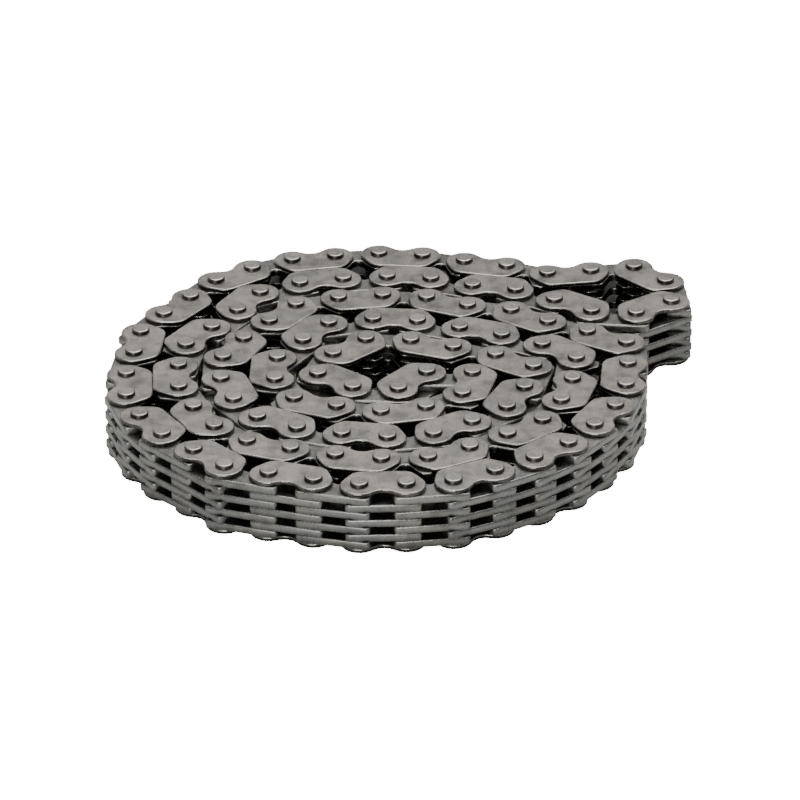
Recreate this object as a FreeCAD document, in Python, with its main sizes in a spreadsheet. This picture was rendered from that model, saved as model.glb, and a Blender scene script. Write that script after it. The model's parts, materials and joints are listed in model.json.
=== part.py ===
"""Endless inverted-tooth timing chain, laid up flat in a double coil.

Pin links and inner links take turns along the chain. A pin link is two pins pressed into a thin
guide plate at each end and three middle plates between them; an inner link is four toothed
plates that turn on those pins. The toothed edges face the inside of the loop.

The loop is folded double, wound up on itself and laid on the ends of its pins. The links from
the open pivot round the outside of the coil are free to swing; the others are the wound coil.

Frame: millimetres, +Z up along the pins, origin at the centre of the base.
"""

import FreeCAD
import Part
import Sketcher
import math
import os

PARTS_FOLDER = "parts"

# Driving dimensions in millimetres, written to the sheet. A plate's outline is measured from the
# middle of the line between its link's two pins, with the teeth towards +Y and its back at -Y.
SIZES = {
    "pitch": 6.35,
    "pin_dia": 2.5,
    "pin_proud": 0.6,
    "pin_chamfer": 0.2,
    "running_gap": 0.03,
    "row_gap": 0.02,
    "guide_thick": 0.65,
    "plate_thick": 1.1,
    "lobe_radius": 2.66,
    "lobe_drop": 0.12,
    "waist_depth": 1.55,
    "guide_height": 3.65,
    "guide_hollow": 0.2,
    "guide_corner_x": 2.8,
    "guide_corner_radius": 2.0,
    "plate_back": 2.75,
    "plate_half_length": 5.2,
    "back_corner_radius": 0.55,
    "shoulder_height": 0.2,
    "shoulder_radius": 1.2,
    "flank_angle": 30,
    "tooth_height": 3.3,
    "tooth_round": 0.45,
    "tooth_inner_x": 2.35,
    "crotch_height": 0.65,
    "crotch_radius": 0.75,
}

# The kinds of plate on a pin, from the bottom row to the top row.
ROWS = ("guide", "inner", "middle", "inner", "middle", "inner", "middle", "inner", "guide")

LINK_COUNT = 110
FREE_LINKS = 20  # links 0 to 19 swing; link n lies between pins n and n + 1
COIL_RUNS = {"outer_run": (20, 46), "heart_run": (46, 76), "return_run": (76, 110)}

# The lay of the chain: where a pin is held, in plan, by its number. Pin 0 is the open pivot.
POSTS = {
    0: (38.5, 35.5), 1: (34, 40.5), 3: (21.5, 38), 5: (9.5, 42), 8: (-9.5, 44), 10: (-21, 40.5),
    13: (-33.5, 26.5), 15: (-37, 14.5), 18: (-36, -4), 20: (-27.5, -13.5), 22: (-17.5, -21),
    25: (1, -24), 28: (18, -17), 31: (30, -2), 34: (31, 16.5), 36: (20, 22), 39: (4, 31),
    41: (-9, 30.5), 44: (-22, 18), 45: (-25, 14.5), 46: (-24, 7), 48: (-19.5, -5), 50: (-8, -9),
    53: (10, -6.5), 56: (18.5, 9.5), 58: (7.5, 16.5), 60: (-4.5, 18), 62: (-11, 8), 64: (-1.5, 2),
    65: (4.5, 5.5), 66: (10, 8), 67: (8, 2), 68: (3, -2), 71: (-14.5, 1.5), 73: (-17.5, 13),
    74: (-14, 17.5), 76: (-4.5, 23.5), 78: (7.5, 22), 80: (19, 16.5), 82: (23.5, 6), 84: (19.5, -6),
    86: (9.5, -13.5), 88: (-2.5, -18.5), 90: (-14.5, -13), 92: (-25.5, -7), 94: (-29.5, 4.5),
    98: (-22.5, 28), 100: (-14.5, 35), 103: (4.5, 37), 105: (16.5, 33), 107: (27, 26),
    108: (33.5, 25.5), 109: (39, 29.5),
}

# How the chain is settled: plates of one row end up at least PLATE_CLEARANCE apart.
PLATE_CLEARANCE = 0.1
SETTLE_ROUNDS = 240
HELD_ROUNDS = 60
HOLD = 0.1  # share of the way back to its first place that a held pin is pulled in a round
PUSH = 0.5  # share of a lack of clearance that is made up in a round
NEAR_PINS = 8.6  # plate ends further apart than this can't meet
OUTLINE_STEP = 0.04  # how far a straight side may leave a curved outline


def point(x, y, z=0.0):
    """A FreeCAD vector."""
    return FreeCAD.Vector(x, y, z)


# Outlines


def arc(centre, radius, start, end):
    """An arc drawn anticlockwise about a centre, between two angles in degrees."""
    circle = Part.Circle(point(*centre), point(0, 0, 1), radius)
    return Part.ArcOfCircle(circle, math.radians(start), math.radians(end))


def on_circle(centre, radius, angle):
    """The point of a circle at an angle in degrees."""
    turn = math.radians(angle)
    return (centre[0] + radius * math.cos(turn), centre[1] + radius * math.sin(turn))


def line(start, end):
    """A straight side between two points."""
    return Part.LineSegment(point(*start), point(*end))


def mirrored(arcs, lines):
    """Arcs and lines of the right half of an outline, with their mirror images on the left."""
    sides = [arc(*each) for each in arcs]
    sides += [arc((-x, y), radius, 180 - end, 180 - start) for (x, y), radius, start, end in arcs]
    sides += [line(*each) for each in lines]
    sides += [line((-x1, y1), (-x2, y2)) for (x1, y1), (x2, y2) in lines]
    return sides


def guide_outline(size):
    """A guide plate: two round lobes with a waist between them, and a long edge over the teeth."""
    half = size["pitch"] / 2
    lobe = (half, -size["lobe_drop"])
    lobe_radius = size["lobe_radius"]
    waist = size["waist_depth"]
    # the waist's arc meets each lobe in a smooth reverse curve
    drop = waist + lobe[1]
    waist_radius = (half**2 + drop**2 - lobe_radius**2) / (2 * (lobe_radius - drop))
    waist_centre = (0, -waist - waist_radius)
    reverse = math.degrees(math.atan2(lobe[1] - waist_centre[1], half))
    # a straight shoulder touches the lobe and the corner of the long edge
    corner_radius = size["guide_corner_radius"]
    corner = (size["guide_corner_x"], size["guide_height"] - corner_radius)
    apart = math.dist(lobe, corner)
    lean = math.degrees(math.atan2(corner[1] - lobe[1], corner[0] - lobe[0]))
    shoulder = lean - math.degrees(math.acos((lobe_radius - corner_radius) / apart))
    sides = mirrored(
        [(lobe, lobe_radius, reverse - 180, shoulder), (corner, corner_radius, shoulder, 90)],
        [(on_circle(lobe, lobe_radius, shoulder), on_circle(corner, corner_radius, shoulder))],
    )
    sides.append(arc(waist_centre, waist_radius, reverse, 180 - reverse))
    edge = [(-corner[0], size["guide_height"]), (0, size["guide_height"] - size["guide_hollow"])]
    edge.append((corner[0], size["guide_height"]))
    sides.append(Part.Arc(*[point(*each) for each in edge]))
    return sides


def tooth_outline(size):
    """A toothed plate: a flat back, upright ends, and two teeth with a crotch between."""
    flank = size["flank_angle"]
    end = size["plate_half_length"]
    radius = size["back_corner_radius"]
    corner = (end - radius, radius - size["plate_back"])
    # the outer flank leaves the end's round shoulder at the flank angle and touches the tooth's round
    round_radius = size["shoulder_radius"]
    shoulder = (end - round_radius, size["shoulder_height"])
    tip = size["tooth_round"]
    tip_y = size["tooth_height"] - tip
    rise = tip_y - shoulder[1]
    normal = math.radians(flank)
    outer_x = shoulder[0] + (round_radius - tip - rise * math.sin(normal)) / math.cos(normal)
    outer = (outer_x, tip_y)
    inner = (size["tooth_inner_x"], tip_y)
    # the inner flank touches the round of the tooth and the crotch, on opposite sides
    crotch_radius = size["crotch_radius"]
    crotch = (0, size["crotch_height"] + crotch_radius)
    apart = math.dist(crotch, inner)
    lean = math.degrees(math.atan2(inner[1] - crotch[1], inner[0]))
    slope = lean + math.degrees(math.asin((crotch_radius + tip) / apart))
    sides = mirrored(
        [
            (corner, radius, -90, 0),
            (shoulder, round_radius, 0, flank),
            (outer, tip, flank, 90),
            (inner, tip, 90, slope + 90),
        ],
        [
            ((end, corner[1]), (end, shoulder[1])),
            (on_circle(shoulder, round_radius, flank), on_circle(outer, tip, flank)),
            (on_circle(outer, tip, 90), on_circle(inner, tip, 90)),
            (on_circle(inner, tip, slope + 90), on_circle(crotch, crotch_radius, slope - 90)),
        ],
    )
    sides.append(arc(crotch, crotch_radius, -90 - slope, slope - 90))
    sides.append(line((-corner[0], -size["plate_back"]), (corner[0], -size["plate_back"])))
    return sides


# Pattern pieces: one parametric body for each kind of piece


def make_sheet(doc):
    """The sheet of driving dimensions. Each cell's alias is its name."""
    sheet = doc.addObject("Spreadsheet::Sheet", "sizes")
    for row, (name, value) in enumerate(SIZES.items(), start=1):
        sheet.set(f"A{row}", name)
        sheet.set(f"B{row}", str(value))
        sheet.setAlias(f"B{row}", name)
    doc.recompute()
    return {name: float(sheet.get(name)) for name in SIZES}


def new_sketch(body, name):
    """A sketch on the body's own XY plane."""
    sketch = body.newObject("Sketcher::SketchObject", name)
    plane = next(each for each in body.Origin.OriginFeatures if each.Role == "XY_Plane")
    sketch.AttachmentSupport = [(plane, "")]
    sketch.MapMode = "FlatFace"
    return sketch


def join_ends(sketch, sides):
    """Ties the ends of neighbouring sides of an outline together."""
    ends = []
    for index, side in enumerate(sides):
        ends.append((index, 1, side.StartPoint))
        ends.append((index, 2, side.EndPoint))
    for place, (index, end, here) in enumerate(ends):
        for other, other_end, there in ends[place + 1 :]:
            if index != other and here.distanceToPoint(there) < 1e-6:
                sketch.addConstraint(
                    Sketcher.Constraint("Coincident", index, end, other, other_end)
                )


def add_circle(sketch, name, x, radius, radius_rule, x_rule=None):
    """A circle on the sketch's X axis, its radius and place bound to the sheet."""
    circle = Part.Circle(point(x, 0), point(0, 0, 1), radius)
    index = sketch.addGeometry(circle, False)
    held = sketch.addConstraint(Sketcher.Constraint("Radius", index, radius))
    sketch.renameConstraint(held, f"{name}_radius")
    sketch.setExpression(f"Constraints.{name}_radius", radius_rule)
    if x_rule is None:
        sketch.addConstraint(Sketcher.Constraint("Coincident", index, 3, -1, 1))
        return
    sketch.addConstraint(Sketcher.Constraint("PointOnObject", index, 3, -1))
    held = sketch.addConstraint(Sketcher.Constraint("DistanceX", -1, 1, index, 3, x))
    sketch.renameConstraint(held, f"{name}_place")
    sketch.setExpression(f"Constraints.{name}_place", x_rule)


def plate_body(doc, name, sides, size, thickness_rule, hole_rule, hole_radius):
    """A plate blanked from strip: its outline, the two pin holes and its thickness."""
    body = doc.addObject("PartDesign::Body", name)
    sketch = new_sketch(body, f"{name}_outline")
    sketch.addGeometry(sides, False)
    join_ends(sketch, sides)
    half = size["pitch"] / 2
    add_circle(sketch, "right_hole", half, hole_radius, hole_rule, "sizes.pitch / 2")
    add_circle(sketch, "left_hole", -half, hole_radius, hole_rule, "-sizes.pitch / 2")
    pad = body.newObject("PartDesign::Pad", f"{name}_blank")
    pad.Profile = sketch
    pad.setExpression("Length", thickness_rule)
    body.Tip = pad
    doc.recompute()
    return body


def pin_body(doc, name, size, length_rule, ends):
    """A round pin along Z from z = 0, with a chamfer at each named end: bottom, top or both."""
    body = doc.addObject("PartDesign::Body", name)
    sketch = new_sketch(body, f"{name}_section")
    add_circle(sketch, "pin", 0, size["pin_dia"] / 2, "sizes.pin_dia / 2")
    pad = body.newObject("PartDesign::Pad", f"{name}_bar")
    pad.Profile = sketch
    pad.setExpression("Length", length_rule)
    doc.recompute()
    length = pad.Shape.BoundBox.ZMax
    wanted = {"bottom": 0.0, "top": length}
    edges = []
    for index, edge in enumerate(pad.Shape.Edges, start=1):
        level = edge.BoundBox
        if any(abs(level.ZMin - wanted[end]) + abs(level.ZMax - wanted[end]) < 1e-6 for end in ends):
            edges.append(f"Edge{index}")
    chamfer = body.newObject("PartDesign::Chamfer", f"{name}_chamfer")
    chamfer.Base = (pad, edges)
    chamfer.setExpression("Size", "sizes.pin_chamfer")
    body.Tip = chamfer
    doc.recompute()
    return body


def make_patterns(doc, size):
    """One body for each kind of piece, by the kind's name."""
    press = size["pin_dia"] / 2
    running = press + size["running_gap"]
    press_rule = "sizes.pin_dia / 2"
    running_rule = "sizes.pin_dia / 2 + sizes.running_gap"
    inner_rows = ROWS.count("inner") + ROWS.count("middle")
    pin_rule = (
        f"2 * sizes.pin_proud + {ROWS.count('guide')} * sizes.guide_thick"
        f" + {inner_rows} * sizes.plate_thick + {len(ROWS) - 1} * sizes.row_gap"
    )
    stub_rule = "sizes.pin_proud + sizes.guide_thick"
    guide = guide_outline(size)
    tooth = tooth_outline(size)
    return {
        "guide": plate_body(
            doc, "guide_plate", guide, size, "sizes.guide_thick", press_rule, press
        ),
        "middle": plate_body(
            doc, "middle_plate", tooth, size, "sizes.plate_thick", press_rule, press
        ),
        "inner": plate_body(
            doc, "inner_plate", tooth, size, "sizes.plate_thick", running_rule, running
        ),
        "pin": pin_body(doc, "pin", size, pin_rule, ("bottom", "top")),
        "bottom_stub": pin_body(doc, "bottom_stub", size, stub_rule, ("bottom",)),
        "top_stub": pin_body(doc, "top_stub", size, stub_rule, ("top",)),
    }


# The lay: where each pin stands in plan


def convex(points):
    """The convex hull of some points, anticlockwise."""

    def chain(ordered):
        kept = []
        for x, y in ordered:
            while len(kept) > 1:
                (x1, y1), (x2, y2) = kept[-2:]
                if (x2 - x1) * (y - y1) - (y2 - y1) * (x - x1) > 0:
                    break
                kept.pop()
            kept.append((x, y))
        return kept[:-1]

    ordered = sorted(points)
    return chain(ordered) + chain(ordered[::-1])


def half_outlines(body):
    """The left and right halves of a plate's outline, each as a convex polygon."""
    face = max(body.Shape.Faces, key=lambda each: each.CenterOfMass.z)
    corners = [(each.x, each.y) for each in face.OuterWire.discretize(Deflection=OUTLINE_STEP)]
    halves = []
    for side in (-1, 1):
        kept = [(x, y) for x, y in corners if side * x >= 0]
        for (x1, y1), (x2, y2) in zip(corners, corners[1:] + corners[:1]):
            if x1 * x2 < 0:
                kept.append((0.0, y1 - x1 * (y2 - y1) / (x2 - x1)))
        halves.append(convex(kept))
    return halves


def first_places():
    """Every pin's first place: a smooth curve through the posts, in equal steps."""
    held = sorted(POSTS)
    pins = []
    for index, first in enumerate(held):
        ends = [POSTS[held[(index + step) % len(held)]] for step in (-1, 0, 1, 2)]
        steps = (held[(index + 1) % len(held)] - first) % LINK_COUNT
        for step in range(steps):
            t = step / steps
            weights = (
                (-t + 2 * t**2 - t**3) / 2,
                (2 - 5 * t**2 + 3 * t**3) / 2,
                (t + 4 * t**2 - 3 * t**3) / 2,
                (t**3 - t**2) / 2,
            )
            pins.append([sum(w * end[axis] for w, end in zip(weights, ends)) for axis in (0, 1)])
    return pins


def keep_pitch(pins, pitch, rounds):
    """Moves the pins until neighbours are one pitch apart all round the loop."""
    for _ in range(rounds):
        for here, there in zip([pins[-1]] + pins[:-1], pins):
            step_x, step_y = there[0] - here[0], there[1] - here[1]
            excess = (1 - pitch / math.hypot(step_x, step_y)) / 2
            here[0] += step_x * excess
            here[1] += step_y * excess
            there[0] -= step_x * excess
            there[1] -= step_y * excess


def laid(outline, start, end, pitch):
    """An outline placed on the link between two pins."""
    along_x, along_y = (end[0] - start[0]) / pitch, (end[1] - start[1]) / pitch
    middle_x, middle_y = (start[0] + end[0]) / 2, (start[1] + end[1]) / 2
    return [
        (middle_x + x * along_x - y * along_y, middle_y + x * along_y + y * along_x)
        for x, y in outline
    ]


def separation(one, other):
    """The widest gap between two convex polygons across a side, and the way from one to other."""
    widest = (-math.inf, 0.0, 0.0)
    for sign, fixed, moving in ((1, one, other), (-1, other, one)):
        for (x1, y1), (x2, y2) in zip(fixed, fixed[1:] + fixed[:1]):
            length = math.hypot(x2 - x1, y2 - y1)
            out_x, out_y = (y2 - y1) / length, (x1 - x2) / length
            reach = min(out_x * x + out_y * y for x, y in moving)
            gap = reach - out_x * x1 - out_y * y1
            if gap > widest[0]:
                widest = (gap, sign * out_x, sign * out_y)
    return widest


def close_ends(pins):
    """Pairs of plate ends in one row that could meet: their links and their halves, 0 or 1."""
    pairs = []
    for link in range(LINK_COUNT):
        for other in range(link + 2, LINK_COUNT, 2):
            for half in (0, 1):
                for other_half in (0, 1):
                    here = pins[(link + half) % LINK_COUNT]
                    there = pins[(other + other_half) % LINK_COUNT]
                    if math.dist(here, there) < NEAR_PINS:
                        pairs.append((link, other, half, other_half))
    return pairs


def push_apart(pins, pairs, halves, pitch):
    """Moves plates that are too near each other apart. Returns how many there were."""
    found = 0
    for link, other, half, other_half in pairs:
        here = (pins[link], pins[(link + 1) % LINK_COUNT])
        there = (pins[other], pins[(other + 1) % LINK_COUNT])
        for kind in ("guide", "middle") if link % 2 == 0 else ("inner",):
            gap, way_x, way_y = separation(
                laid(halves[kind][half], *here, pitch), laid(halves[kind][other_half], *there, pitch)
            )
            if gap >= PLATE_CLEARANCE:
                continue
            found += 1
            push = (PLATE_CLEARANCE - gap) * PUSH
            # most of the push goes to the pins at the ends that meet
            for sign, ends, near in ((-1, here, half), (1, there, other_half)):
                for end, pin in enumerate(ends):
                    share = sign * push * (0.4 if end == near else 0.1)
                    pin[0] += way_x * share
                    pin[1] += way_y * share
    return found


def settle(bodies, size):
    """Lays the chain round its posts and lets the plates push each other clear."""
    pitch = size["pitch"]
    halves = {kind: half_outlines(bodies[kind]) for kind in ("guide", "middle", "inner")}
    pins = first_places()
    home = [tuple(pin) for pin in pins]
    pairs = []
    for turn in range(SETTLE_ROUNDS):
        if turn % 8 == 0:
            pairs = close_ends(pins)
        found = push_apart(pins, pairs, halves, pitch)
        if turn > HELD_ROUNDS and found == 0:
            break
        pull = HOLD * max(0.0, 1 - turn / HELD_ROUNDS)
        for pin, (x, y) in zip(pins, home):
            pin[0] += (x - pin[0]) * pull
            pin[1] += (y - pin[1]) * pull
        keep_pitch(pins, pitch, 6)
    keep_pitch(pins, pitch, 300)
    return pins


def centred(pins, bodies, pitch):
    """The pins moved so that the middle of the coil's box in plan is the origin."""
    reach = []
    for link in range(LINK_COUNT):
        kinds = ("guide", "middle") if link % 2 == 0 else ("inner",)
        for kind in kinds:
            for half in half_outlines(bodies[kind]):
                reach += laid(half, pins[link], pins[(link + 1) % LINK_COUNT], pitch)
    middle = [(min(axis) + max(axis)) / 2 for axis in zip(*reach)]
    return [(pin[0] - middle[0], pin[1] - middle[1]) for pin in pins]


# The pieces in their places


def row_levels(size):
    """The bottom of each row of plates."""
    levels = []
    level = size["pin_proud"]
    for kind in ROWS:
        levels.append(level)
        level += size["guide_thick"] if kind == "guide" else size["plate_thick"]
        level += size["row_gap"]
    return levels


def placed(body, x, y, z, angle=0.0):
    """A copy of a pattern piece's solid, moved to its place."""
    solid = body.Shape.Solids[0].copy()
    solid.Placement = FreeCAD.Placement(point(x, y, z), FreeCAD.Rotation(point(0, 0, 1), angle))
    return solid


def link_plates(link, kind, pins, bodies, size):
    """The plates of one kind that a link has, from the bottom up."""
    start, end = pins[link], pins[(link + 1) % LINK_COUNT]
    angle = math.degrees(math.atan2(end[1] - start[1], end[0] - start[0]))
    x, y = (start[0] + end[0]) / 2, (start[1] + end[1]) / 2
    levels = zip(ROWS, row_levels(size))
    return [placed(bodies[kind], x, y, level, angle) for row, level in levels if row == kind]


def link_pins(link, pins, bodies, size):
    """The two pins of a pin link. The open pivot has a stub in each guide plate instead."""
    solids = []
    for number in (link, link + 1):
        x, y = pins[number % LINK_COUNT]
        if number == 0:
            top = row_levels(size)[-1]
            solids += [placed(bodies["bottom_stub"], x, y, 0), placed(bodies["top_stub"], x, y, top)]
        else:
            solids.append(placed(bodies["pin"], x, y, 0))
    return solids


def gather(doc, label, solids):
    """A sub-part: its solids as one object of the document."""
    piece = doc.addObject("Part::Feature", label)
    piece.Label = label
    piece.Shape = Part.makeCompound(solids)
    piece.Placement = FreeCAD.Placement()
    return piece


def make_free_links(doc, pins, bodies, size):
    """The links that swing, each with its own sub-parts."""
    pieces = []
    for link in range(FREE_LINKS):
        if link % 2:
            plates = link_plates(link, "inner", pins, bodies, size)
            pieces.append(gather(doc, f"inner_plates_{link:02d}", plates))
            continue
        for kind in ("guide", "middle"):
            plates = link_plates(link, kind, pins, bodies, size)
            pieces.append(gather(doc, f"{kind}_plates_{link:02d}", plates))
        pieces.append(gather(doc, f"pins_{link:02d}", link_pins(link, pins, bodies, size)))
    return pieces


def make_coil(doc, pins, bodies, size):
    """The wound coil, as a sub-part for each kind of piece in each run."""
    pieces = []
    for run, (first, last) in COIL_RUNS.items():
        groups = {f"{run}_{kind}": [] for kind in (
            "lower_guide_plates", "upper_guide_plates", "middle_plates", "inner_plates", "pins"
        )}
        for link in range(first, last):
            if link % 2:
                plates = link_plates(link, "inner", pins, bodies, size)
                groups[f"{run}_inner_plates"] += plates
                continue
            lower, upper = link_plates(link, "guide", pins, bodies, size)
            groups[f"{run}_lower_guide_plates"].append(lower)
            groups[f"{run}_upper_guide_plates"].append(upper)
            groups[f"{run}_middle_plates"] += link_plates(link, "middle", pins, bodies, size)
            groups[f"{run}_pins"] += link_pins(link, pins, bodies, size)
        pieces += [gather(doc, label, solids) for label, solids in groups.items()]
    return pieces


def check(doc, pieces):
    """Stops if anything in the document failed or a sub-part isn't sound."""
    for each in doc.Objects:
        if "Invalid" in each.State or "Error" in each.State:
            raise RuntimeError(f"{each.Label} failed: {each.State}")
    for piece in pieces:
        if piece.Shape.isNull() or not piece.Shape.isValid():
            raise RuntimeError(f"{piece.Label} has no sound shape")


def main():
    """Builds the chain and writes one STEP file for each sub-part."""
    doc = FreeCAD.newDocument("timing_chain")
    size = make_sheet(doc)
    bodies = make_patterns(doc, size)
    pins = centred(settle(bodies, size), bodies, size["pitch"])
    pieces = make_free_links(doc, pins, bodies, size) + make_coil(doc, pins, bodies, size)
    doc.recompute()
    check(doc, pieces)
    os.makedirs(PARTS_FOLDER, exist_ok=True)
    for piece in pieces:
        piece.Shape.exportStep(os.path.join(PARTS_FOLDER, f"{piece.Label}.step"))
    solids = sum(len(piece.Shape.Solids) for piece in pieces)
    print(f"{len(pieces)} sub-parts, {solids} solids")


main()
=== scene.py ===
"""Finishes an endless silent timing chain: rolled plates, rounded pins and tumbled steel.

Every link is read from the fixed frame: where its pins stand, which way its teeth face and how
its plates are stacked. The frame's plain solids are then replaced with finished pieces.
"""

import json
import logging
import math
from dataclasses import dataclass, field
from enum import Enum
from typing import ClassVar

import bmesh
import bpy
import numpy as np
from mathutils import Matrix, Vector


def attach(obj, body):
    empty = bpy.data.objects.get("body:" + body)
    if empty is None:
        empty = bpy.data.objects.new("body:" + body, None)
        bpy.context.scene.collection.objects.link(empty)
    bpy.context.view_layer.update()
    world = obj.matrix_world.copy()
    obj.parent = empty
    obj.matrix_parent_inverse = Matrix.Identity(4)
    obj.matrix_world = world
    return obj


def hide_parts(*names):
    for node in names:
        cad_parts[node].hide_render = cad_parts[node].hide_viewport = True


MM = 0.001
SAME_CORNER = 0.02  # two corners nearer than this, in millimetres, are one
LOG = logging.getLogger("chain")

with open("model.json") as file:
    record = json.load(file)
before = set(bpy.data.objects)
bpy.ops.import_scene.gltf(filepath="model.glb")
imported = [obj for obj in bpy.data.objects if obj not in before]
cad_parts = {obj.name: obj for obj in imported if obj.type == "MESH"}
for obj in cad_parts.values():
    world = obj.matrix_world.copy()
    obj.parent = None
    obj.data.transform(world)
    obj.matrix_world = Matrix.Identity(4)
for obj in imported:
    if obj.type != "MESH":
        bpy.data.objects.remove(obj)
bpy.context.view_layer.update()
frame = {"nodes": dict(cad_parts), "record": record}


class Slot(Enum):
    """The material slots of the chain."""

    GUIDE = "guide_steel"
    PLATE = "plate_steel"
    PIN = "pin_steel"


class Kind(Enum):
    """The kinds of loose solid that a node may hold."""

    GUIDE = "guide"
    TOOTHED = "toothed"
    INNER = "inner"
    PIN = "pin"
    STUB = "stub"


# Outlines


@dataclass(frozen=True)
class Arc:
    """Part of a circle in an outline. It runs clockwise if its end is less than its start.

    Attributes:
        x: Centre, in millimetres.
        y: Centre, in millimetres.
        radius: Radius in millimetres.
        start: First angle in degrees.
        end: Last angle in degrees.
    """

    x: float
    y: float
    radius: float
    start: float
    end: float

    def point(self, angle: float) -> tuple[float, float]:
        """The arc's point at an angle in degrees."""
        turn = math.radians(angle)
        return self.x + self.radius * math.cos(turn), self.y + self.radius * math.sin(turn)

    def mirrored(self) -> "Arc":
        """The arc on the other side of the Y axis, run the other way along the outline."""
        return Arc(-self.x, self.y, self.radius, 180 - self.end, 180 - self.start)

    def points(self, step: float) -> list[tuple[float, float]]:
        """The arc as points.

        Args:
            step: The widest angle between two points, in degrees.

        Returns:
            The points from start to end, both ends included.
        """
        count = max(1, math.ceil(abs(self.end - self.start) / step - 1e-6))
        turns = (self.start + (self.end - self.start) * n / count for n in range(count + 1))
        return [self.point(turn) for turn in turns]


def outline_of(right: list[Arc], middle: list[Arc], last: list[Arc], step: float) -> np.ndarray:
    """A closed outline that is the same on both sides of the Y axis.

    Args:
        right: Arcs up the right side, from the back to the toothed edge.
        middle: Arcs across the toothed edge, from right to left.
        last: Arcs across the back, from left to right.
        step: The widest angle between two points of an arc, in degrees.

    Returns:
        The corners in metres, anticlockwise, with no doubled corner.
    """
    arcs = right + middle + [each.mirrored() for each in reversed(right)] + last
    corners: list[tuple[float, float]] = []
    for each in arcs:
        for corner in each.points(step):
            if not corners or math.dist(corner, corners[-1]) > SAME_CORNER:
                corners.append(corner)
    if math.dist(corners[0], corners[-1]) < SAME_CORNER:
        corners.pop()
    return np.array(corners) * MM


@dataclass(frozen=True)
class GuideOutline:
    """A guide plate's sizes in millimetres: round lobes, a waist and a long edge over the teeth."""

    pitch: float = 6.35
    lobe_radius: float = 2.66
    lobe_drop: float = 0.12
    waist_depth: float = 1.55
    height: float = 3.65
    hollow: float = 0.2
    corner_x: float = 2.8
    corner_radius: float = 2.0
    step: float = 20.0

    def corners(self) -> np.ndarray:
        """The plate's outline.

        Returns:
            Its corners in metres, anticlockwise.
        """
        half, drop = self.pitch / 2, self.waist_depth - self.lobe_drop
        waist = (half**2 + drop**2 - self.lobe_radius**2) / (2 * (self.lobe_radius - drop))
        waist_y = -self.waist_depth - waist
        reverse = math.degrees(math.atan2(-self.lobe_drop - waist_y, half))
        corner_y = self.height - self.corner_radius
        rise, run = corner_y + self.lobe_drop, self.corner_x - half
        lean = math.degrees(math.atan2(rise, run))
        spare = (self.lobe_radius - self.corner_radius) / math.hypot(rise, run)
        shoulder = lean - math.degrees(math.acos(spare))
        edge = (self.corner_x**2 + self.hollow**2) / (2 * self.hollow)
        swing = math.degrees(math.asin(self.corner_x / edge))
        edge_y = self.height - self.hollow + edge
        right = [
            Arc(half, -self.lobe_drop, self.lobe_radius, reverse - 180, shoulder),
            Arc(self.corner_x, corner_y, self.corner_radius, shoulder, 90),
        ]
        return outline_of(
            right,
            [Arc(0, edge_y, edge, swing - 90, -90 - swing)],
            [Arc(0, waist_y, waist, 180 - reverse, reverse)],
            self.step,
        )


@dataclass(frozen=True)
class ToothedOutline:
    """A toothed plate's sizes in millimetres: a flat back, and two teeth with a crotch between."""

    back: float = 2.75
    half_length: float = 5.2
    corner_radius: float = 0.55
    shoulder_height: float = 0.2
    shoulder_radius: float = 1.2
    flank: float = 30.0
    tooth_height: float = 3.3
    tooth_round: float = 0.45
    tooth_inner_x: float = 2.35
    crotch_height: float = 0.65
    crotch_radius: float = 0.75
    step: float = 30.0

    def corners(self) -> np.ndarray:
        """The plate's outline.

        Returns:
            Its corners in metres, anticlockwise.
        """
        corner_x, corner_y = self.half_length - self.corner_radius, self.corner_radius - self.back
        shoulder_x = self.half_length - self.shoulder_radius
        tip_y = self.tooth_height - self.tooth_round
        normal = math.radians(self.flank)
        fall = (tip_y - self.shoulder_height) * math.sin(normal)
        outer_x = shoulder_x + (self.shoulder_radius - self.tooth_round - fall) / math.cos(normal)
        crotch_y = self.crotch_height + self.crotch_radius
        run, rise = self.tooth_inner_x, tip_y - crotch_y
        reach = (self.crotch_radius + self.tooth_round) / math.hypot(run, rise)
        slope = math.degrees(math.atan2(rise, run) + math.asin(reach))
        right = [
            Arc(corner_x, corner_y, self.corner_radius, -90, 0),
            Arc(shoulder_x, self.shoulder_height, self.shoulder_radius, 0, self.flank),
            Arc(outer_x, tip_y, self.tooth_round, self.flank, 90),
            Arc(self.tooth_inner_x, tip_y, self.tooth_round, 90, slope + 90),
        ]
        crotch = Arc(0, crotch_y, self.crotch_radius, slope - 90, -90 - slope)
        return outline_of(right, [crotch], [], self.step)


# Blanks: one finished mesh for each kind of piece


def ring_at(bm: bmesh.types.BMesh, corners: np.ndarray, level: float) -> list[bmesh.types.BMVert]:
    """New corners of a mesh at one level, in metres."""
    return [bm.verts.new((x, y, level)) for x, y in corners]


def join_rings(
    bm: bmesh.types.BMesh, rings: list[list[bmesh.types.BMVert]]
) -> list[list[bmesh.types.BMFace]]:
    """Walls between neighbouring rings of corners.

    Args:
        bm: The mesh.
        rings: Closed rings with the same number of corners, from the bottom up.

    Returns:
        The faces of each wall, which point away from the rings' middle.
    """
    walls = []
    for low, high in zip(rings, rings[1:]):
        count = len(low)
        walls.append([
            bm.faces.new((low[n], low[(n + 1) % count], high[(n + 1) % count], high[n]))
            for n in range(count)
        ])
    return walls


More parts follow.
